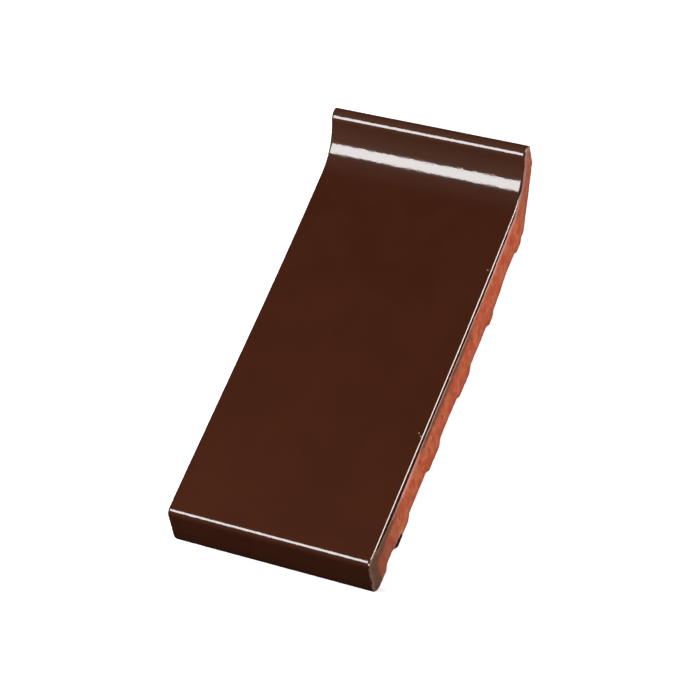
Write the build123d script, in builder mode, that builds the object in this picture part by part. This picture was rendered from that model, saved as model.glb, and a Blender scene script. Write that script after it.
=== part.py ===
"""Glazed clinker window sill, one fired piece of extruded clay.

The section runs from a drip nose at the front, over a flat tread and a cove, to a raised lip at
the back. It was pressed along X and cut off square at both ends, so every rib, groove and edge
runs the full width. The underside carries the ribs by which two sills left the press back to back.

X is the width, Y runs from the nose to the lip, and Z is up. The origin is in the middle of the
box that holds the sill, on the plane that the rib faces lie on.
"""

import os
from math import asin, cos, degrees, radians, sin, tan

from build123d import *

# Overall
width = 110.0
length = 245.0
plate_thickness = 24.0

# Drip nose
front_lean = 11.0  # degrees that the front face leans out towards its foot
front_arris_radius = 4.0
foot_clearance = 0.9  # the foot stands this much higher than the rib faces
nose_foot_radius = 7.0
drip_edge_setback = 13.0  # from the foremost point
groove_depth = 3.9  # from the foot up to the ceiling of the drip groove
groove_corner_radius = 1.5

# Tread, cove and lip
sweep_run = 99.0  # the back stretch of the tread, which rises very gently
sweep_radius = 1950.0
cove_radius = 27.0
lip_face_height = 3.2  # the straight stretch between the cove and the top of the lip
lip_face_angle = 66.0  # degrees above level
lip_thickness = 6.9  # at its top
lip_back_height = 14.9
lip_back_lean = 6.5  # degrees that the back face leans out towards its top
lip_front_radius = 3.5
lip_back_radius = 2.5
lip_foot_radius = 3.0

# Ribs
rib_height = 3.3
rib_setback = 26.0  # from the foremost point to the front root of the first rib
rib_roots = [21.0, 21.0, 21.0, 11.5]
rib_flank_angle = 45.0
rib_edge_radius = 0.8

# Recess and heel, behind the last of the ribs
recess_rise = 3.4
recess_lead = 3.2  # level stretch between the last rib and the rise
recess_run = 13.0  # level stretch between the rise and the heel rib
heel_rib_root = 11.0
heel_rib_height = 2.5
heel_ledge = 3.2  # level stretch between the heel rib and the heel
heel_slope = 47.5  # degrees above level

# Ends
end_arris_radius = 1.4

# Levels
base_level = rib_height
tread_level = base_level + plate_thickness
recess_level = base_level + recess_rise
heel_rib_level = recess_level - heel_rib_height
foot_level = foot_clearance
groove_level = foot_level + groove_depth

# The tread, the cove and the face of the lip follow one another without a break
sweep_angle = degrees(asin(sweep_run / sweep_radius))
sweep_rise = sweep_radius * (1 - cos(radians(sweep_angle)))
cove_rise = cove_radius * (cos(radians(sweep_angle)) - cos(radians(lip_face_angle)))
cove_run = cove_radius * (sin(radians(lip_face_angle)) - sin(radians(sweep_angle)))
lip_face_run = lip_face_height / tan(radians(lip_face_angle))
lip_level = tread_level + sweep_rise + cove_rise + lip_face_height

# A rounded corner stands back from the sharp corner that it is cut from
front = -length / 2
foot_turn = radians(90 + front_lean)
foot_corner = (front - nose_foot_radius * (tan(foot_turn / 2) - 1), foot_level)
front_corner = (foot_corner[0] + (tread_level - foot_level) * tan(radians(front_lean)), tread_level)
back_turn = radians(90 + lip_back_lean)
back_corner = (length / 2 + lip_back_radius * (tan(back_turn / 2) - 1), lip_level)
lip_corner = (back_corner[0] - lip_thickness, lip_level)
lip_foot = (back_corner[0] - lip_back_height * tan(radians(lip_back_lean)), lip_level - lip_back_height)
sweep_start = (lip_corner[0] - lip_face_run - cove_run - sweep_run, tread_level)

# The heel hangs on the lip, and the ribs are spaced evenly from the nose to the heel rib
flank = tan(radians(rib_flank_angle))
rib_flank = rib_height / flank
heel_flank = heel_rib_height / flank
heel_corner = (lip_foot[0] - (lip_foot[1] - recess_level) / tan(radians(heel_slope)), recess_level)
heel_rib_back = heel_corner[0] - heel_ledge
heel_rib_front = heel_rib_back - heel_rib_root
first_rib_front = front + rib_setback
rib_pitch = (heel_rib_front - first_rib_front) / len(rib_roots)

# Underside corners, from the heel forwards to the first rib
underside = [
    heel_corner,
    (heel_rib_back, recess_level),
    (heel_rib_back - heel_flank, heel_rib_level),
    (heel_rib_front + heel_flank, heel_rib_level),
    (heel_rib_front, recess_level),
    (heel_rib_front - recess_run, recess_level),
    (heel_rib_front - rib_pitch + rib_roots[-1] + recess_lead, base_level),
]
rib_edges = []
for number, root in reversed(list(enumerate(rib_roots))):
    rib_front = first_rib_front + number * rib_pitch
    rib_edges += [(rib_front + root - rib_flank, 0), (rib_front + rib_flank, 0)]
    underside += [(rib_front + root, base_level), *rib_edges[-2:]]
    if number > 0:
        underside.append((rib_front, base_level))

# The drip groove opens between the foot of the nose and the first rib
drip_edge = (front + drip_edge_setback, foot_level)
groove_front = (drip_edge[0] + groove_depth / flank, groove_level)
groove_back = (first_rib_front + rib_flank - groove_level / flank, groove_level)
underside += [groove_back, groove_front, drip_edge, foot_corner]

with BuildPart() as window_sill:
    with BuildSketch(Plane.YZ) as section:
        with BuildLine() as outline:
            tread = Line(front_corner, sweep_start)
            sweep = JernArc(tread @ 1, tread % 1, sweep_radius, sweep_angle)
            cove = JernArc(sweep @ 1, sweep % 1, cove_radius, lip_face_angle - sweep_angle)
            Polyline(cove @ 1, lip_corner, back_corner, lip_foot, *underside, front_corner)
        make_face()
        rounds = [
            (front_corner, front_arris_radius),
            (foot_corner, nose_foot_radius),
            (groove_front, groove_corner_radius),
            (groove_back, groove_corner_radius),
            (lip_corner, lip_front_radius),
            (back_corner, lip_back_radius),
            (lip_foot, lip_foot_radius),
        ]
        rounds += [(edge, rib_edge_radius) for edge in rib_edges]
        for corner, radius in rounds:
            fillet(section.vertices().sort_by_distance(corner)[0], radius)
    extrude(amount=width / 2, both=True)

    # The glazed faces look up, forward or back, and their edges at the cut ends are rounded
    glazed = window_sill.faces().filter_by(lambda face: face.normal_at().Z > -0.2)
    glazed = glazed.filter_by(lambda face: abs(face.normal_at().X) < 0.5)
    arrises = [edge for edge in glazed.edges() if abs(abs(edge.center().X) - width / 2) < 0.001]
    fillet(arrises, end_arris_radius)

window_sill.part.label = "window_sill"
os.makedirs("parts", exist_ok=True)
export_step(window_sill.part, "parts/window_sill.step")
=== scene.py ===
"""Looks of the glazed clinker window sill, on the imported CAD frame.

The sill is one fired piece. Its mesh is drawn again here from the section's sizes, with a fine
grid, so that the torn ribs, the cut ends and the edge of the glaze have real relief.
"""

from math import asin, cos, degrees, pi, radians, sin, tan
from types import SimpleNamespace

import bmesh
import bpy
from bpy.props import FloatProperty, FloatVectorProperty, IntProperty, PointerProperty
from bpy.types import Operator, Panel, PropertyGroup
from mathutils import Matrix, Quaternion, Vector, noise
from mathutils.bvhtree import BVHTree
from mathutils.geometry import intersect_point_line


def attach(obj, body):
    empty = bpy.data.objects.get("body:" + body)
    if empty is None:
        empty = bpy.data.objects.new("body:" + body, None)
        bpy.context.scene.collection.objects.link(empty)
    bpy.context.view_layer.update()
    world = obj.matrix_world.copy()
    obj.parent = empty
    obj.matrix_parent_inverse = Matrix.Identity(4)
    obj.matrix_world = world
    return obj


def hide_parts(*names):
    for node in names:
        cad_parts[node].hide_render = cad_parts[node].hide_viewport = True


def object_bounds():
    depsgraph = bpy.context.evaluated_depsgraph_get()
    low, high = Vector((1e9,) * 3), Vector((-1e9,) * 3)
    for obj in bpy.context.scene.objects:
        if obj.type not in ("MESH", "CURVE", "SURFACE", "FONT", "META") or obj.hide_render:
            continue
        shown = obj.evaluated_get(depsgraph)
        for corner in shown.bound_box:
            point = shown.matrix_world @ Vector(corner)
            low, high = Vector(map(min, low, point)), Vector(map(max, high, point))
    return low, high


bl_info = {
    "name": "Clinker Window Sill",
    "version": (1, 0, 0),
    "blender": (4, 5, 0),
    "location": "View3D > Sidebar > Sill",
    "description": "Builds a glazed clinker window sill with its finishes and its studio",
    "category": "Object",
}

NODE = "window_sill"
BODY = "root"
MM = 0.001

# How finely the curves of the section are drawn, and the angle past which an edge stays sharp
SWEEP_STEPS = 12
COVE_STEPS = 44
DEGREES_PER_STEP = 7
SHARP_EDGE = radians(55)

# How deep the split tore each rib at the right end, from the nose backwards, in millimetres
RIGHT_TEARS = (0.0, 0.0, 0.1, 0.5)

# How the edge of the glaze changes on the cut ends, as (place along the sill, value) in millimetres
GLAZE_LAP = ((-112, 0.4), (-106, 3.2), (-88, 4.2), (-56, 4.2), (-46, 3.3), (40, 3.2), (88, 2.7), (99, 0.4))
BLOOM_WIDTH = ((-96, 1.5), (-84, 4.0), (-56, 4.0), (-47, 1.4), (40, 1.8), (60, 3.5), (95, 4.0), (102, 5.5))
MIST_REACH = (
    (-114, 10.0), (-106, 7.0), (-92, 4.5), (-78, 3.0), (-70, 1.0), (-54, 1.0),
    (-46, 5.0), (18, 4.6), (34, 3.0), (60, 3.0), (100, 5.0),
)

# The same for strengths from 0 to 1
BLOOM_STRENGTH = (
    (-100, 0.3), (-80, 0.45), (-74, 0.9), (-66, 0.75), (-54, 0.6),
    (-46, 0.85), (20, 0.85), (50, 0.9), (94, 0.75), (100, 0.35),
)
MIST_STRENGTH = (
    (-98, 1.0), (-82, 0.8), (-72, 0.1), (-54, 0.0), (-46, 1.0),
    (18, 0.9), (30, 0.3), (60, 0.0), (94, 0.0), (100, 0.7),
)

# Pinholes in the glaze, across and along the sill, in millimetres
PINHOLES = ((52.8, 55.8), (52.3, -43.3), (53.8, -44.7), (54.5, 98.6))

# A painted highlight, a white dot at the right corner of the nose
HIGHLIGHT_DOT = Vector((54.44, -117.86, 26.2)) * MM

# A dark glazed patch on the end of the first rib, from the nose backwards, in millimetres
DARK_PATCH_START = Vector((55, -96.5, 1.2)) * MM
DARK_PATCH_END = Vector((55, -89, 1.0)) * MM

# The studio, in metres: lamps, the point that the side lamps face, the floor and the mat
SOFTBOX = Vector((-0.335, -0.455, 0.75))
SIDE_PANEL = Vector((0.9, 0.365, 0.27))
SIDE_FILL = Vector((0.9, 0.22, 0.40))
RIGHT_END = Vector((0.05, 0, 0.02))
FLOOR_HALF = 6
MAT_HALF = 0.5
MAT_UNDER_NOSE = 6 * MM

# How strongly the lamps shine
SOFTBOX_RADIANCE = 13.5
PANEL_RADIANCE = 19.0
FILL_RADIANCE = 6.2
SKY_STRENGTH = 0.5
WORLD_STRENGTH = 0.05

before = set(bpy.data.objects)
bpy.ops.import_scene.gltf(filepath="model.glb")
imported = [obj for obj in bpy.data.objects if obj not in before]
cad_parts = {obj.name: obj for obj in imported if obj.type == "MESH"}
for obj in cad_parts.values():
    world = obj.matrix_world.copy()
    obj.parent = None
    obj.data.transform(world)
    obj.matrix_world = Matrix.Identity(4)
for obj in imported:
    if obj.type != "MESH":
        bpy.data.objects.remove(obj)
CAD_LOW, CAD_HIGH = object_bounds()
CAD_SIZE = CAD_HIGH - CAD_LOW


def length(name, description, millimetres):
    """A length property whose default is given in millimetres."""
    return FloatProperty(
        name=name, description=description, default=millimetres * MM, unit="LENGTH", precision=5
    )


def angle(name, description, default):
    """An angle property whose default is given in degrees."""
    return FloatProperty(name=name, description=description, default=radians(default), subtype="ANGLE")


def colour(name, description, red, green, blue):
    """A colour property whose default is given as 8-bit screen values."""
    values = [linear(channel / 255) for channel in (red, green, blue)]
    return FloatVectorProperty(
        name=name, description=description, default=values, subtype="COLOR", size=3, min=0, max=1
    )


def linear(value):
    """A screen value from 0 to 1 as scene-linear light."""
    return value / 12.92 if value <= 0.04045 else ((value + 0.055) / 1.055) ** 2.4


class SillSizes(PropertyGroup):
    """Sizes of the section, as in the CAD source, but for a fuller round at the front of the lip."""

    width: FloatProperty(
        name="Width", description="Along the press direction", default=CAD_SIZE.x, unit="LENGTH", precision=5
    )
    length: FloatProperty(
        name="Length", description="From the nose to the lip", default=CAD_SIZE.y, unit="LENGTH", precision=5
    )
    plate_thickness: length("Plate thickness", "Of the tread between the ribs", 24.0)
    front_lean: angle("Front lean", "The front face leans out towards its foot", 11.0)
    front_arris_radius: length("Front arris radius", "Between the tread and the front face", 4.0)
    foot_clearance: length("Foot clearance", "The foot stands this much above the rib faces", 0.9)
    nose_foot_radius: length("Nose foot radius", "Round under the front face", 7.0)
    drip_edge_setback: length("Drip edge setback", "From the foremost point", 13.0)
    groove_depth: length("Groove depth", "Of the drip groove above the foot", 3.9)
    groove_corner_radius: length("Groove corner radius", "At both sides of its ceiling", 1.5)
    sweep_run: length("Sweep run", "The gently rising back stretch of the tread", 99.0)
    sweep_radius: length("Sweep radius", "Of that stretch", 1950.0)
    cove_radius: length("Cove radius", "Between the tread and the lip", 27.0)
    lip_face_height: length("Lip face height", "Straight stretch above the cove", 3.2)
    lip_face_angle: angle("Lip face angle", "Above level", 66.0)
    lip_thickness: length("Lip thickness", "At its top", 6.9)
    lip_back_height: length("Lip back height", "Height of the back face", 14.9)
    lip_back_lean: angle("Lip back lean", "The back face leans out towards its top", 6.5)
    lip_front_radius: length("Lip front radius", "Between the lip's face and its top", 5.8)
    lip_back_radius: length("Lip back radius", "Between the lip's top and its back", 2.5)
    lip_foot_radius: length("Lip foot radius", "Between the back face and the heel's slope", 3.0)
    rib_height: length("Rib height", "Below the underside of the plate", 3.3)
    rib_setback: length("Rib setback", "From the foremost point to the first rib", 26.0)
    rib_root: length("Rib root", "Width of a rib at the plate", 21.0)
    last_rib_root: length("Last rib root", "Width of the rib before the recess", 11.5)
    rib_count: IntProperty(name="Ribs", description="In front of the heel rib", default=4, min=1)
    rib_edge_radius: length("Rib edge radius", "Worn edge of a rib", 0.8)
    recess_rise: length("Recess rise", "Of the underside towards the heel", 3.4)
    recess_lead: length("Recess lead", "Level stretch between the last rib and the rise", 3.2)
    recess_run: length("Recess run", "Level stretch in front of the heel rib", 13.0)
    heel_rib_root: length("Heel rib root", "Width of the heel rib at its root", 11.0)
    heel_rib_height: length("Heel rib height", "Below the recess", 2.5)
    heel_ledge: length("Heel ledge", "Level stretch behind the heel rib", 3.2)
    heel_slope: angle("Heel slope", "Of the back of the heel, above level", 47.5)
    end_arris_radius: length("End arris radius", "Round of the glazed edge at each cut end", 1.4)


class SillRelief(PropertyGroup):
    """Relief that the firing, the cutting and the splitting left on the clay."""

    grid_along: length("Grid along", "Mesh spacing from the nose to the lip", 0.95)
    grid_up: length("Grid up", "Mesh spacing in height", 0.95)
    grid_across: length("Grid across", "Mesh spacing over the width", 1.3)
    glaze_lap: length("Glaze lap", "How far the glaze runs past its own walls", 1.7)
    glaze_waver: length("Glaze waver", "How much the edge of the glaze wanders", 0.5)
    # Half the width of the dark glazed patch on the first rib
    dark_patch_half_width: length("Glaze run", "Half the width of the run on the first rib", 2.5)
    glaze_skin: length("Glaze skin", "Height of the glaze's edge above the clay", 0.05)
    cut_relief: length("Cut relief", "Unevenness of the wire-cut ends", 0.16)
    skin_relief: length("Skin relief", "Unevenness of the pressed underside", 0.12)
    tear_relief: length("Tear relief", "Unevenness of the split rib faces", 0.4)
    chip_relief: length("Chip relief", "Wear along the lower edges of the ends", 0.2)
    tear_fade: length("Tear fade", "How far the deep tears reach in from the right end", 24.0)


class SillFinish(PropertyGroup):
    """Colours of the glaze and the fired clay."""

    glaze: colour("Glaze", "Brown glaze over the tread", 72, 34, 18)
    # Deep brown for glaze that gathered, and also for painted shade low on the nose and along the glaze's
    # edge on the cut ends
    glaze_thick_and_shade: colour("Thick glaze", "Where the glaze has gathered", 30, 9, 4)
    # Thin glaze on the lip's face, made lighter still as a painted sheen
    glaze_thin_and_sheen: colour("Thin glaze", "Where it ran off the steep face of the lip", 86, 52, 37)
    glaze_worn: colour("Worn glaze", "On the upright arrises of the nose", 156, 126, 112)
    clay: colour("Clay", "Fired clay at the cut ends", 184, 88, 58)
    clay_orange: colour("Orange clay", "Where the fire was hotter", 198, 106, 68)
    clay_red: colour("Red clay", "Where the clay is richer in iron", 188, 70, 43)
    # Also for torn rib faces and for painted shade along the lower edges of the cut ends
    clay_dark: colour("Dark clay", "Pores, drag marks and smoke", 120, 62, 44)
    clay_pale: colour("Pale clay", "Bloom beside the glaze", 214, 166, 150)
    # A painted highlight: the white dot stands in for a lamp mirrored at the nose's right corner
    highlight_dot: colour("White speck", "At the right corner of the nose", 250, 232, 224)
    mist: colour("Glaze mist", "Thin stray glaze on the clay", 98, 70, 54)


class StudioSettings(PropertyGroup):
    """Camera, lamps and floor."""

    azimuth: angle("Azimuth", "Of the camera, from the front of the nose", 38.53)
    elevation: angle("Elevation", "Of the camera, above level", 55.73)
    roll: angle("Roll", "Of the camera about its own axis", -20.14)
    distance: length("Distance", "From the camera to its aim", 1314.2)
    lens: FloatProperty(name="Lens", description="Focal length on a 36 mm sensor", default=132.44)
    aim: FloatVectorProperty(
        name="Aim",
        description="Point at the middle of the view",
        default=(-0.0026, -0.00299, 0.02012),
        size=3,
    )
    floor: colour("Floor", "Plain pale floor", 250, 250, 250)
    floor_lift: FloatProperty(
        name="Floor lift", description="Light that the floor itself adds to its white", default=0.68
    )
    cloth_glow: FloatProperty(
        name="Cloth glow", description="Light that spills onto the tent beside the softbox", default=0.14
    )
    cloth_reach: FloatProperty(
        name="Cloth reach", description="Radius of the dark cloth tent", default=3.0, unit="LENGTH"
    )


def mesh_object(name, bm):
    """A new object from a finished bmesh, linked to the scene."""
    mesh = bpy.data.meshes.new(name)
    bm.to_mesh(mesh)
    bm.free()
    made = bpy.data.objects.new(name, mesh)
    bpy.context.scene.collection.objects.link(made)
    return made


def section_places(s):
    """The places of the section's corners and roots, worked out from its sizes."""
    p = SimpleNamespace()
    p.base = s.rib_height
    p.tread = p.base + s.plate_thickness
    p.recess = p.base + s.recess_rise
    p.groove = s.foot_clearance + s.groove_depth
    p.front = -s.length / 2

    # A rounded corner stands back from the sharp corner that it is cut from
    p.foot_y = p.front - s.nose_foot_radius * (tan((pi / 2 + s.front_lean) / 2) - 1)
    p.front_y = p.foot_y + (p.tread - s.foot_clearance) * tan(s.front_lean)
    p.back_y = s.length / 2 + s.lip_back_radius * (tan((pi / 2 + s.lip_back_lean) / 2) - 1)

    # Tread, cove and lip follow one another without a break
    p.sweep = asin(s.sweep_run / s.sweep_radius)
    sweep_rise = s.sweep_radius * (1 - cos(p.sweep))
    cove_rise = s.cove_radius * (cos(p.sweep) - cos(s.lip_face_angle))
    cove_run = s.cove_radius * (sin(s.lip_face_angle) - sin(p.sweep))
    p.lip_z = p.tread + sweep_rise + cove_rise + s.lip_face_height
    p.lip_y = p.back_y - s.lip_thickness
    p.sweep_y = p.lip_y - s.lip_face_height / tan(s.lip_face_angle) - cove_run - s.sweep_run
    p.lip_foot = (p.back_y - s.lip_back_height * tan(s.lip_back_lean), p.lip_z - s.lip_back_height)

    # The heel hangs on the lip, and the ribs are spaced evenly from the nose to the heel rib
    p.heel_y = p.lip_foot[0] - (p.lip_foot[1] - p.recess) / tan(s.heel_slope)
    p.heel_rib_back = p.heel_y - s.heel_ledge
    p.heel_rib_front = p.heel_rib_back - s.heel_rib_root
    p.first_rib = p.front + s.rib_setback
    p.pitch = (p.heel_rib_front - p.first_rib) / s.rib_count
    p.recess_start = p.heel_rib_front - p.pitch + s.last_rib_root + s.recess_lead
    p.drip_y = p.front + s.drip_edge_setback
    return p


def section_corners(s, p):
    """The straight-sided part of the section, from the lip round to the nose, with its radii."""
    heel_rib_z = p.recess - s.heel_rib_height
    corners = [
        ((p.lip_y, p.lip_z), s.lip_front_radius),
        ((p.back_y, p.lip_z), s.lip_back_radius),
        (p.lip_foot, s.lip_foot_radius),
        ((p.heel_y, p.recess), s.rib_edge_radius),
        ((p.heel_rib_back, p.recess), 0),
        ((p.heel_rib_back - s.heel_rib_height, heel_rib_z), s.rib_edge_radius),
        ((p.heel_rib_front + s.heel_rib_height, heel_rib_z), s.rib_edge_radius),
        ((p.heel_rib_front, p.recess), 0),
        ((p.heel_rib_front - s.recess_run, p.recess), 0),
        ((p.recess_start, p.base), 0),
    ]
    for number in reversed(range(s.rib_count)):
        near = p.first_rib + number * p.pitch
        root = s.last_rib_root if number == s.rib_count - 1 else s.rib_root
        corners += [
            ((near + root, p.base), 0),
            ((near + root - s.rib_height, 0), s.rib_edge_radius),
            ((near + s.rib_height, 0), s.rib_edge_radius),
        ]
        if number:
            corners.append(((near, p.base), 0))
    corners += [
        ((p.first_rib + s.rib_height - p.groove, p.groove), s.groove_corner_radius),
        ((p.drip_y + s.groove_depth, p.groove), s.groove_corner_radius),
        ((p.drip_y, s.foot_clearance), 0),
        ((p.foot_y, s.foot_clearance), s.nose_foot_radius),
        ((p.front_y, p.tread), s.front_arris_radius),
    ]
    return corners


def draw_section(bm, s, p):
    """Draws the section as one face at the left end."""
    x = -s.width / 2
    start = bm.verts.new((x, p.sweep_y, p.tread))
    turned = bmesh.ops.spin(
        bm,
        geom=[start],
        cent=(x, p.sweep_y, p.tread + s.sweep_radius),
        axis=(1, 0, 0),
        angle=p.sweep,
        steps=SWEEP_STEPS,
    )
    cove_foot = turned["geom_last"][0]
    centre = cove_foot.co + s.cove_radius * Vector((0, -sin(p.sweep), cos(p.sweep)))
    turned = bmesh.ops.spin(
        bm,
        geom=[cove_foot],
        cent=centre,
        axis=(1, 0, 0),
        angle=s.lip_face_angle - p.sweep,
        steps=COVE_STEPS,
    )
    last = turned["geom_last"][0]
    rounds = []
    for (y, z), radius in section_corners(s, p):
        corner = bm.verts.new((x, y, z))
        bm.edges.new((last, corner))
        last = corner
        if radius:
            rounds.append((corner, radius))
    bm.edges.new((last, start))
    bmesh.ops.contextual_create(bm, geom=bm.edges[:])

    for corner, radius in rounds:
        one, other = (edge.other_vert(corner).co - corner.co for edge in corner.link_edges)
        turn = pi - one.angle(other)
        bmesh.ops.bevel(
            bm,
            geom=[corner],
            affect="VERTICES",
            offset=radius * tan(turn / 2),
            offset_type="OFFSET",
            segments=max(4, round(degrees(turn) / DEGREES_PER_STEP)),
            profile=0.5,
            material=-1,
        )


def cut_grid(bm, axis, low, high, step):
    """Cuts every face along planes across an axis, a step apart."""
    count = int((high - low) / step)
    for number in range(1, count + 1):
        place = Vector()
        place[axis] = low + number * step
        normal = Vector()
        normal[axis] = 1
        geom = bm.verts[:] + bm.edges[:] + bm.faces[:]
        bmesh.ops.bisect_plane(bm, geom=geom, plane_co=place, plane_no=normal, dist=1e-5)


def glazed_walls(bm, drip_y):
    """The walls that the glaze was poured over: tread, cove, lip and nose, down to the drip edge."""
    walls = []
    for face in bm.faces:
        normal = face.normal
        if abs(normal.x) > 0.5:
            continue
        over = normal.z > -0.05 and normal.y < 0.9
        if over or face.calc_center_median().y < drip_y:
            walls.append(face)
    return walls


def wall_tree(walls):
    """A search tree over four-sided walls, for distances to them."""
    places = [loop.vert.co.copy() for face in walls for loop in face.loops]
    return BVHTree.FromPolygons(places, [range(start, start + 4) for start in range(0, len(places), 4)])


def smooth_step(low, high, value):
    """0 at low, 1 at high, and a soft rise between them. Low may be the larger."""
    part = min(max((value - low) / (high - low), 0), 1)
    return part * part * (3 - 2 * part)


def fine_noise(point, size, seed, octaves=3):
    """Fractal noise of about -1 to 1 at a feature size in metres."""
    place = point / size + Vector((seed * 17.3, seed * 5.1, seed * 9.7))
    return noise.fractal(place, 1.0, 2.0, octaves, noise_basis="PERLIN_ORIGINAL")


def between(one, other, part):
    """The value a given part of the way from one value to another."""
    return one + (other - one) * part


def station(y, stations):
    """The value at a place along the sill, smoothly between the listed places."""
    place = y / MM
    for (start, one), (end, other) in zip(stations, stations[1:]):
        if place < end:
            return between(one, other, smooth_step(start, end, place))
    return stations[-1][1]


def glaze_reach(co, cut, r, tree):
    """How far a point lies inside the edge of the glaze. Negative on bare clay."""
    nearest = tree.find_nearest((0, co.y, co.z))
    lap = between(r.glaze_lap, station(co.y, GLAZE_LAP) * MM, cut)
    waver = r.glaze_waver * (fine_noise(co, 10 * MM, 3) + 0.5 * fine_noise(co, 3 * MM, 4))
    # The dark glazed patch on the end of the first rib counts as glaze
    along = intersect_point_line(co, DARK_PATCH_START, DARK_PATCH_END)
    on_dark_patch = DARK_PATCH_START.lerp(DARK_PATCH_END, min(max(along[1], 0), 1))
    dark_patch = r.dark_patch_half_width + 0.5 * MM * fine_noise(co, 4 * MM, 12) - (co - on_dark_patch).length
    return max(lap + min(waver, 0.8 * lap) - nearest[3], dark_patch)


def mist_depth(co, p, reach):
    """How much stray glaze lies on the clay at a point, from 0 to 1."""
    span = station(co.y, MIST_REACH) * MM
    inwards = min(p.tread - co.z, co.y - p.front) - station(co.y, GLAZE_LAP) * MM
    edge = max(-reach, inwards) + 1.6 * MM * fine_noise(co, 4 * MM, 7)
    beside_glaze = station(co.y, MIST_STRENGTH) * smooth_step(span + 2 * MM, span - 1.5 * MM, edge)
    dusty_nose = 0.38 * smooth_step(-82 * MM, -102 * MM, co.y)
    dusty_lip = 0.25 * smooth_step(88 * MM, 100 * MM, co.y)
    return max(beside_glaze, dusty_nose, dusty_lip)


def tear_depth(co, s, r, p):
    """How deep the split has torn the rib that a point belongs to."""
    number = int((co.y - p.first_rib) / p.pitch)
    if co.y < p.first_rib - MM or number >= len(RIGHT_TEARS):
        return 0.0
    flat = Vector((co.x, co.y, 0))
    patch = 0.25 + 0.7 * fine_noise(flat, 14 * MM, 5, 4)
    rough = 0.5 * fine_noise(flat, 3 * MM, 6, 2)
    near_end = smooth_step(s.width / 2 - r.tear_fade, s.width / 2, co.x)
    deep = RIGHT_TEARS[number] * MM * near_end * (1 + 0.25 * fine_noise(flat, 4 * MM, 8, 2))
    return max(r.tear_relief * (patch + rough), 0) + deep


SURFACE_MARKS = (
    "glaze_reach",
    "bloom_width",
    "bloom_strength",
    "glaze_mist",
    "cut_face",
    # Where the glaze's edge on the cut ends turns dark: gathered glaze with painted shade under its rim
    "glaze_bead_and_shade",
    # Torn rib faces, and painted shade along the lower edges of the cut ends
    "torn_face_and_edge_shade",
    "worn_arris",
)


def shape_relief(bm, s, r, p, glazed_tree, bare_tree):
    """Roughens the bare clay, and stores on the points where glaze, mist, cuts, tears and painted shade are.
    """
    layers = [bm.verts.layers.float.new(name) for name in SURFACE_MARKS]
    bm.normal_update()
    half = s.width / 2
    moves = []
    for vert in bm.verts:
        co = vert.co
        normal = vert.normal

        # A point belongs to a cut end where it faces along X, and is bare outside the glaze's edge
        cut = smooth_step(0.3, 0.8, abs(normal.x))
        skin = 1 - cut
        reach = glaze_reach(co, cut, r, glazed_tree)
        bare = 1 - smooth_step(-0.3 * MM, 0.4 * MM, reach)

        # The wire dragged the ends, and left the pressed faces with their fine skin
        drag = noise.noise(Vector((co.x * 9, co.y * 380, co.z * 90)))
        pit = smooth_step(0.35, 0.6, fine_noise(co, 3.2 * MM, 9, 2))
        uneven = 0.25 + 0.5 * fine_noise(co, 5 * MM, 1, 4) + 0.3 * drag + pit
        depth = cut * (r.glaze_skin + r.cut_relief * uneven)
        depth += skin * r.skin_relief * (0.6 + 0.6 * fine_noise(co, 3 * MM, 2, 3))

        # The ribs were split off a twin, so their faces are torn and their ends chipped
        low = 1 - smooth_step(0, 6 * MM, co.z)
        tear = tear_depth(co, s, r, p) if low else 0
        outer = smooth_step(half - 2.5 * MM, half - 0.3 * MM, abs(co.x)) * smooth_step(0, -0.5, normal.z)
        chip = r.chip_relief * outer * max(0.25 + fine_noise(co, 5 * MM, 10, 3), 0)
        moves.append((vert, bare * (Vector((0, 0, low * tear + chip)) - normal * max(depth, 0))))

        # Dark where torn, painted shade along the lower edges of the cut ends, and worn pale on the upright
        # arrises of the nose
        torn = smooth_step(1.6 * MM, 0.5 * MM, co.z) * smooth_step(0.05 * MM, 0.4 * MM, tear)
        edge_shade = cut * smooth_step(2.0 * MM, 0.6 * MM, bare_tree.find_nearest((0, co.y, co.z))[3])
        nose = smooth_step(-106 * MM, -112 * MM, co.y)
        edge = smooth_step(0.3, 0.5, abs(normal.x)) * smooth_step(1.0, 0.85, abs(normal.x))
        values = (
            reach / MM,
            station(co.y, BLOOM_WIDTH),
            cut * station(co.y, BLOOM_STRENGTH),
            mist_depth(co, p, reach),
            cut,
            # Where the glaze's edge gets its dark line: gathered glaze with painted shade
            cut * (1 - nose),
            max(torn, 1.3 * edge_shade),
            nose * edge * smooth_step(26 * MM, 22 * MM, co.z),
        )
        for layer, value in zip(layers, values):
            vert[layer] = value
    for vert, move in moves:
        vert.co += move


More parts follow.
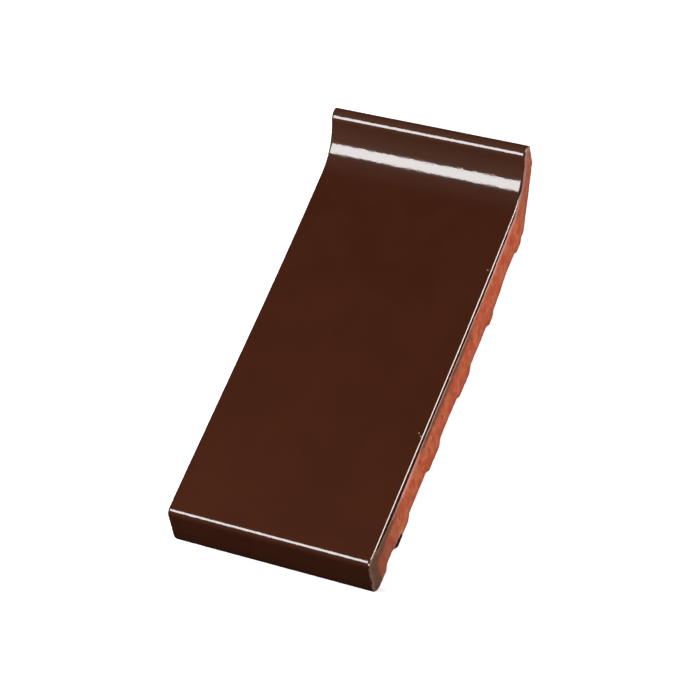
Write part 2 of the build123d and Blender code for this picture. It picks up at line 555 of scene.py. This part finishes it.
class SILL_OT_body(Operator):
    """Builds the sill's mesh with its relief, in place of the CAD solid"""

    bl_idname = "sill.build_body"
    bl_label = "Build Window Sill"

    def execute(self, context):
        s = context.scene.sill_sizes
        r = context.scene.sill_relief
        p = section_places(s)
        bm = bmesh.new()
        draw_section(bm, s, p)
        extruded = bmesh.ops.extrude_face_region(bm, geom=bm.faces[:])
        moved = [part for part in extruded["geom"] if isinstance(part, bmesh.types.BMVert)]
        bmesh.ops.translate(bm, verts=moved, vec=(s.width, 0, 0))
        bmesh.ops.recalc_face_normals(bm, faces=bm.faces[:])

        walls = glazed_walls(bm, p.drip_y)
        glazed_tree = wall_tree(walls)
        bare_tree = wall_tree([face for face in bm.faces if len(face.verts) == 4 and face not in walls])
        wall_edges = dict.fromkeys(edge for face in walls for edge in face.edges)
        arrises = [edge for edge in wall_edges if abs(edge.verts[0].co.x - edge.verts[1].co.x) < 1e-6]
        bmesh.ops.bevel(
            bm,
            geom=arrises,
            affect="EDGES",
            offset=s.end_arris_radius,
            offset_type="OFFSET",
            segments=8,
            profile=0.5,
            material=-1,
        )

        # A fine grid over the walls carries the relief
        cut_grid(bm, 1, CAD_LOW.y, CAD_HIGH.y, r.grid_along)
        cut_grid(bm, 2, CAD_LOW.z, CAD_HIGH.z, r.grid_up)
        long_edges = [edge for edge in bm.edges if edge.calc_length() > s.width / 2]
        cuts = round(s.width / r.grid_across)
        bmesh.ops.subdivide_edges(bm, edges=long_edges, cuts=cuts, use_grid_fill=True)
        bmesh.ops.recalc_face_normals(bm, faces=bm.faces[:])
        shape_relief(bm, s, r, p, glazed_tree, bare_tree)

        sill = mesh_object("sill_body", bm)
        sill.data.shade_smooth()
        sill.data.set_sharp_from_angle(angle=SHARP_EDGE)
        sill.data.materials.append(sill_material(context.scene.sill_finish))
        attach(sill, BODY)
        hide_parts(NODE)
        print("sill triangles", sum(len(face.vertices) - 2 for face in sill.data.polygons))
        return {"FINISHED"}


class Shader:
    """Adds and links the nodes of one material, and keeps the calls short."""

    def __init__(self, name):
        self.material = bpy.data.materials.new(name)
        self.material.use_nodes = True
        self.tree = self.material.node_tree
        self.tree.nodes.clear()
        output = self.tree.nodes.new("ShaderNodeOutputMaterial")
        self.surface = self.tree.nodes.new("ShaderNodeBsdfPrincipled")
        self.tree.links.new(self.surface.outputs[0], output.inputs["Surface"])

    def put(self, socket, value):
        """Links a node's output to a socket, or sets the socket to a plain value."""
        if isinstance(value, bpy.types.NodeSocket):
            self.tree.links.new(value, socket)
        else:
            socket.default_value = value

    def node(self, kind, output=0, inputs=None, **settings):
        """A new node with its settings and inputs, given back as its output."""
        made = self.tree.nodes.new(kind)
        for key, value in settings.items():
            setattr(made, key, value)
        for key, value in (inputs or {}).items():
            self.put(made.inputs[key], value)
        return made.outputs[output]

    def maths(self, operation, one, other=0.0, third=0.0, clamp=False):
        """A sum, product or the like of two or three values."""
        return self.node(
            "ShaderNodeMath", inputs={0: one, 1: other, 2: third}, operation=operation, use_clamp=clamp
        )

    def distance(self, place, point):
        """How far a place is from a point, in metres."""
        return self.node(
            "ShaderNodeVectorMath", "Value", inputs={0: place, 1: point}, operation="DISTANCE"
        )

    def grain(self, size, detail=2.0, roughness=0.5, stretch=(1, 1, 1)):
        """Noise from 0 to 1 with a feature size in millimetres, on Object coordinates."""
        place = self.node("ShaderNodeTexCoord", "Object")
        scaled = self.node(
            "ShaderNodeMapping", inputs={"Vector": place, "Scale": [1 / factor for factor in stretch]}
        )
        return self.node(
            "ShaderNodeTexNoise",
            inputs={
                "Vector": scaled,
                "Scale": 1 / (size * MM),
                "Detail": detail,
                "Roughness": roughness,
            },
        )

    def ramp(self, value, low, high, to_low=0.0, to_high=1.0):
        """A smooth rise from to_low to to_high while value goes from low to high."""
        return self.node(
            "ShaderNodeMapRange",
            inputs={"Value": value, 1: low, 2: high, 3: to_low, 4: to_high},
            interpolation_type="SMOOTHSTEP",
        )

    def blend(self, factor, one, other):
        """One colour turning into another with a factor."""
        mixed = self.tree.nodes.new("ShaderNodeMix")
        mixed.data_type = "RGBA"
        self.put(mixed.inputs[0], factor)
        self.put(mixed.inputs[6], one)
        self.put(mixed.inputs[7], other)
        return mixed.outputs[2]

    def bump(self, height, distance, strength=1.0, normal=None):
        """A bump of the height's full range, in millimetres."""
        inputs = {"Height": height, "Distance": distance * MM, "Strength": strength}
        if normal is not None:
            inputs["Normal"] = normal
        return self.node("ShaderNodeBump", inputs=inputs)


def rgba(value):
    """A colour with full opacity."""
    return (*value, 1.0)


def glaze_colour(m, finish, place, inside, bead_and_shade_mask, worn):
    """Nearly even brown glaze, pricked by a few pinholes and with one painted highlight, a white dot.

    It is thin on the lip's face, where a painted sheen also lightens it, and darker low on the nose as
    painted shade.
    Along its edge on the cut ends it is dark, where glaze gathered and shade is painted under its rim, and
    it is worn on the upright arrises of the nose.
    """
    height = m.node("ShaderNodeSeparateXYZ", "Z", inputs={0: place})
    cloud = m.ramp(m.grain(28, 3), 0.35, 0.65)
    fleck = m.ramp(m.grain(1.1, 2, 0.6), 0.62, 0.78)
    # A dark line along the glaze's edge on the cut ends: gathered glaze, with painted shade under its rim
    bead_line_and_shade = m.maths("MULTIPLY", bead_and_shade_mask, m.ramp(inside, 0.9, 1.7, 1.0, 0.0))
    scuffs = m.ramp(m.grain(2.0, 3, 0.6), 0.35, 0.55)
    thick_glaze_and_shade = rgba(finish.glaze_thick_and_shade)
    glaze = m.blend(m.maths("MULTIPLY", cloud, 0.12), rgba(finish.glaze), thick_glaze_and_shade)
    glaze = m.blend(m.maths("MULTIPLY", fleck, 0.06), glaze, thick_glaze_and_shade)
    # Lighter on the lip's face: thin glaze, with a painted sheen
    glaze = m.blend(m.ramp(height, 30 * MM, 37 * MM, 0.0, 0.65), glaze, rgba(finish.glaze_thin_and_sheen))
    # Painted shade: the glaze turns darker towards the bottom of the nose
    glaze = m.blend(m.ramp(height, 4 * MM, 15 * MM, 0.35, 0.0), glaze, thick_glaze_and_shade)
    glaze = m.blend(m.maths("MULTIPLY", bead_line_and_shade, 0.9), glaze, thick_glaze_and_shade)
    glaze = m.blend(m.maths("MULTIPLY", worn, scuffs), glaze, rgba(finish.glaze_worn))

    level = m.node("ShaderNodeVectorMath", inputs={0: place, 1: (1, 1, 0)}, operation="MULTIPLY")
    for x, y in PINHOLES:
        away = m.distance(level, (x * MM, y * MM, 0))
        glaze = m.blend(m.ramp(away, 0.2 * MM, 0.5 * MM, 0.9, 0.0), glaze, rgba(finish.clay_pale))
    # A painted highlight, a white dot at the right corner of the nose
    away = m.distance(place, HIGHLIGHT_DOT)
    return m.blend(m.ramp(away, 0.35 * MM, 0.75 * MM, 1.0, 0.0), glaze, rgba(finish.highlight_dot))


def clay_colour(m, finish, inside, bloom_width, bloom_strength, mist, torn):
    """Clay mottled by the fire, with dark pores, drag marks, torn faces and painted shade along the lower
    edges of the cut ends.

    Thin stray glaze greys it in places, and right beside the glaze it is pale.
    """
    warm = m.ramp(m.grain(7, 4, 0.65), 0.4, 0.6)
    rich = m.ramp(m.grain(5.5, 4, 0.65, stretch=(1, 1, 2)), 0.46, 0.62)
    pores = m.ramp(m.grain(0.9, 3, 0.7), 0.56, 0.72)
    smoke = m.ramp(m.grain(4, 4, 0.7, stretch=(1, 0.7, 1.6)), 0.54, 0.7)
    dark = rgba(finish.clay_dark)
    clay = m.blend(warm, rgba(finish.clay), rgba(finish.clay_orange))
    clay = m.blend(m.maths("MULTIPLY", rich, 0.85), clay, rgba(finish.clay_red))
    clay = m.blend(m.maths("MULTIPLY", smoke, 0.6), clay, dark)
    clay = m.blend(m.maths("MULTIPLY", pores, 0.6), clay, dark)
    # Darker on torn rib faces, and painted shade along the lower edges of the cut ends
    clay = m.blend(m.maths("MULTIPLY", torn, 0.55, clamp=True), clay, dark)

    speckle = m.ramp(m.grain(1.8, 4, 0.7), 0.36, 0.64, 0.75, 1.1)
    clay = m.blend(m.maths("MULTIPLY", mist, speckle, clamp=True), clay, rgba(finish.mist))
    near = m.maths("ADD", inside, m.maths("MULTIPLY_ADD", m.grain(5, 3), 1.0, -0.5))
    fade = m.maths("DIVIDE", m.maths("MULTIPLY", near, -1.0), bloom_width)
    bloom = m.maths("POWER", m.ramp(fade, 0.15, 1.3, 1.0, 0.0), 1.6)
    spots = m.maths("MULTIPLY", m.ramp(m.grain(3.4, 3, 0.6), 0.6, 0.72), 0.35)
    bloom = m.maths("MULTIPLY", m.maths("MAXIMUM", bloom, spots), bloom_strength)
    return m.blend(bloom, clay, rgba(finish.clay_pale))


def surface_grain(m, glazed, cut):
    """Orange peel on the glaze, grit on the clay, and drag lines along the press on its skin."""
    peel = m.bump(m.grain(3.2, 2, 0.5), 0.055)
    peel = m.bump(m.grain(1.1, 1, 0.5), 0.024, normal=peel)
    lines = m.grain(0.8, 3, 0.6, stretch=(30, 1, 1))
    drags = m.grain(1.4, 3, 0.6, stretch=(1, 0.6, 4))
    texture = m.node("ShaderNodeMix", data_type="FLOAT", inputs={0: cut, 2: lines, 3: drags})
    grit = m.bump(texture, 0.25)
    grit = m.bump(m.grain(0.8, 4, 0.7), 0.25, normal=grit)
    return m.node("ShaderNodeMix", 1, data_type="VECTOR", inputs={0: glazed, 4: grit, 5: peel})


def sill_material(finish):
    """Brown glaze over fired clay, parted at the reach of the glaze that the mesh stores."""
    m = Shader("glazed_clinker")
    reach, bloom_width, bloom_strength, mist, cut, bead_and_shade_mask, torn, worn = (
        m.node("ShaderNodeAttribute", "Fac", attribute_name=name) for name in SURFACE_MARKS
    )
    inside = m.maths("ADD", reach, m.maths("MULTIPLY_ADD", m.grain(2.4, 4, 0.65), 1.0, -0.5))
    glazed = m.ramp(inside, -0.1, 0.1)
    place = m.node("ShaderNodeTexCoord", "Object")
    glaze = glaze_colour(m, finish, place, inside, bead_and_shade_mask, worn)
    clay = clay_colour(m, finish, inside, bloom_width, bloom_strength, mist, torn)
    m.put(m.surface.inputs["Base Color"], m.blend(glazed, clay, glaze))
    m.put(m.surface.inputs["Roughness"], m.ramp(glazed, 0, 1, 0.92, 0.1))
    m.put(m.surface.inputs["Specular IOR Level"], m.ramp(glazed, 0, 1, 0.1, 0.5))
    m.put(m.surface.inputs["IOR"], 1.6)
    m.put(m.surface.inputs["Normal"], surface_grain(m, glazed, cut))
    return m.material


def lamp(name, place, target, width, height, radiance, **sees):
    """A soft rectangular lamp whose face has an even radiance, turned towards a target."""
    light = bpy.data.lights.new(name, "AREA")
    light.shape = "RECTANGLE"
    light.size = width
    light.size_y = height
    light.energy = radiance * pi * width * height
    made = bpy.data.objects.new(name, light)
    made.location = place
    made.rotation_mode = "QUATERNION"
    made.rotation_quaternion = (Vector(target) - Vector(place)).to_track_quat("-Z", "Y")
    for ray, seen in sees.items():
        setattr(made, "visible_" + ray, seen)
    bpy.context.scene.collection.objects.link(made)
    return made


def seen_directly(tree):
    """1 for rays from the camera, off a gloss or through glass, and 0 for the others."""
    path = tree.nodes.new("ShaderNodeLightPath")
    value = path.outputs["Is Camera Ray"]
    for name in ("Is Glossy Ray", "Is Transmission Ray"):
        most = tree.nodes.new("ShaderNodeMath")
        most.operation = "MAXIMUM"
        tree.links.new(value, most.inputs[0])
        tree.links.new(path.outputs[name], most.inputs[1])
        value = most.outputs[0]
    return value


def build_floor(studio):
    """A white floor under the sill. The light that it adds itself reaches only what looks at it."""
    bm = bmesh.new()
    bmesh.ops.create_grid(bm, x_segments=1, y_segments=1, size=FLOOR_HALF)
    bmesh.ops.translate(bm, verts=bm.verts, vec=(0, 0, CAD_LOW.z))
    floor = mesh_object("floor", bm)
    paint = Shader("floor_paint")
    paint.put(paint.surface.inputs["Base Color"], rgba(studio.floor))
    paint.put(paint.surface.inputs["Roughness"], 1.0)
    paint.put(paint.surface.inputs["Specular IOR Level"], 0.0)
    paint.put(paint.surface.inputs["Emission Color"], rgba((1, 1, 1)))
    lift = paint.maths("MULTIPLY", seen_directly(paint.tree), studio.floor_lift)
    paint.put(paint.surface.inputs["Emission Strength"], lift)
    floor.data.materials.append(paint.material)


def dark_cloth(name, bm, diffuse, bright_spot=None, glow=0.0):
    """Dark cloth that the glaze mirrors, as in a dark studio. The camera doesn't see it."""
    cloth = mesh_object(name, bm)
    felt = Shader(name)
    felt.put(felt.surface.inputs["Base Color"], rgba((0.02, 0.02, 0.02)))
    felt.put(felt.surface.inputs["Roughness"], 1.0)
    felt.put(felt.surface.inputs["Specular IOR Level"], 0.0)
    if bright_spot:
        near, far = 1.2, 3.4
        away = felt.distance(felt.node("ShaderNodeTexCoord", "Object"), bright_spot)
        felt.put(felt.surface.inputs["Emission Color"], rgba((1, 1, 1)))
        felt.put(felt.surface.inputs["Emission Strength"], felt.ramp(away, near, far, glow, 0.0))
    cloth.data.materials.append(felt.material)
    cloth.visible_camera = False
    cloth.visible_diffuse = diffuse
    cloth.visible_shadow = False
    cloth.visible_transmission = False


def build_cloths(studio):
    """A dark tent over the sill, closed just above the floor, and a dark mat before the nose."""
    bm = bmesh.new()
    bmesh.ops.create_uvsphere(bm, u_segments=32, v_segments=16, radius=studio.cloth_reach)
    geom = bm.verts[:] + bm.edges[:] + bm.faces[:]
    ground = Vector((0, 0, CAD_LOW.z + 0.2 * MM))
    bmesh.ops.bisect_plane(bm, geom=geom, plane_co=ground, plane_no=(0, 0, 1), clear_inner=True)
    bmesh.ops.holes_fill(bm, edges=[edge for edge in bm.edges if edge.is_boundary], sides=0)
    beside_softbox = SOFTBOX.normalized() * studio.cloth_reach
    dark_cloth("dark_tent", bm, False, beside_softbox, studio.cloth_glow)

    bm = bmesh.new()
    bmesh.ops.create_grid(bm, x_segments=1, y_segments=1, size=MAT_HALF)
    middle = Vector((0, CAD_LOW.y + MAT_UNDER_NOSE - MAT_HALF, CAD_LOW.z + 0.3 * MM))
    bmesh.ops.translate(bm, verts=bm.verts, vec=middle)
    dark_cloth("dark_mat", bm, diffuse=True)


def build_lamps(scene):
    """A softbox overhead, a panel and a fill on the right, and a faint wide sky."""
    below = (SOFTBOX.x, SOFTBOX.y, 0)
    lamp("key_softbox", SOFTBOX, below, 0.42, 0.42, SOFTBOX_RADIANCE)
    panel = lamp("side_panel", SIDE_PANEL, RIGHT_END, 0.36, 0.62, PANEL_RADIANCE, diffuse=False)
    panel.data.color = (1, 0.92, 0.88)
    lamp("side_fill", SIDE_FILL, RIGHT_END, 0.55, 0.52, FILL_RADIANCE, glossy=False)
    light = bpy.data.lights.new("fill_sky", "SUN")
    light.energy = SKY_STRENGTH
    light.angle = radians(120)
    sky = bpy.data.objects.new("fill_sky", light)
    sky.visible_glossy = False
    scene.collection.objects.link(sky)


def build_world(scene):
    """A world that is white to look at and lights the sill only faintly."""
    world = bpy.data.worlds.new("studio")
    world.use_nodes = True
    background = world.node_tree.nodes["Background"]
    background.inputs["Color"].default_value = rgba((1, 1, 1))
    strength = world.node_tree.nodes.new("ShaderNodeMapRange")
    strength.inputs["To Min"].default_value = WORLD_STRENGTH
    world.node_tree.links.new(seen_directly(world.node_tree), strength.inputs["Value"])
    world.node_tree.links.new(strength.outputs["Result"], background.inputs["Strength"])
    scene.world = world


def build_camera(scene, studio):
    """The camera of the photo, turned about its aim."""
    camera = bpy.data.objects.new("camera", bpy.data.cameras.new("camera"))
    camera.data.sensor_width = 36
    camera.data.lens = studio.lens
    camera.data.clip_start = 0.05
    flat = cos(studio.elevation)
    back = Vector((sin(studio.azimuth) * flat, -cos(studio.azimuth) * flat, sin(studio.elevation)))
    camera.location = Vector(studio.aim) + back * studio.distance
    camera.rotation_mode = "QUATERNION"
    level = (-back).to_track_quat("-Z", "Y")
    camera.rotation_quaternion = level @ Quaternion((0, 0, 1), studio.roll)
    scene.collection.objects.link(camera)
    scene.camera = camera


class SILL_OT_studio(Operator):
    """Sets up the floor, the dark cloths, the lamps, the world and the camera"""

    bl_idname = "sill.build_studio"
    bl_label = "Build Studio"

    def execute(self, context):
        scene = context.scene
        studio = scene.sill_studio
        build_floor(studio)
        build_cloths(studio)
        build_lamps(scene)
        build_world(scene)
        build_camera(scene, studio)
        scene.view_settings.view_transform = "Standard"
        return {"FINISHED"}


class SILL_PT_panel(Panel):
    """Lists the sill's sizes and the buttons that build it"""

    bl_idname = "SILL_PT_panel"
    bl_label = "Clinker Window Sill"
    bl_space_type = "VIEW_3D"
    bl_region_type = "UI"
    bl_category = "Sill"

    def draw(self, context):
        layout = self.layout
        for group in GROUPS:
            box = layout.box()
            settings = getattr(context.scene, group)
            for name in settings.__annotations__:
                box.prop(settings, name)
        layout.operator(SILL_OT_body.bl_idname)
        layout.operator(SILL_OT_studio.bl_idname)


GROUPS = {
    "sill_sizes": SillSizes,
    "sill_relief": SillRelief,
    "sill_finish": SillFinish,
    "sill_studio": StudioSettings,
}
CLASSES = (*GROUPS.values(), SILL_OT_body, SILL_OT_studio, SILL_PT_panel)


def register():
    for cls in CLASSES:
        bpy.utils.register_class(cls)
    for name, group in GROUPS.items():
        setattr(bpy.types.Scene, name, PointerProperty(type=group))


def unregister():
    for name in GROUPS:
        delattr(bpy.types.Scene, name)
    for cls in reversed(CLASSES):
        bpy.utils.unregister_class(cls)


def main():
    register()
    bpy.ops.sill.build_body()
    bpy.ops.sill.build_studio()


if __name__ == "__main__":
    main()
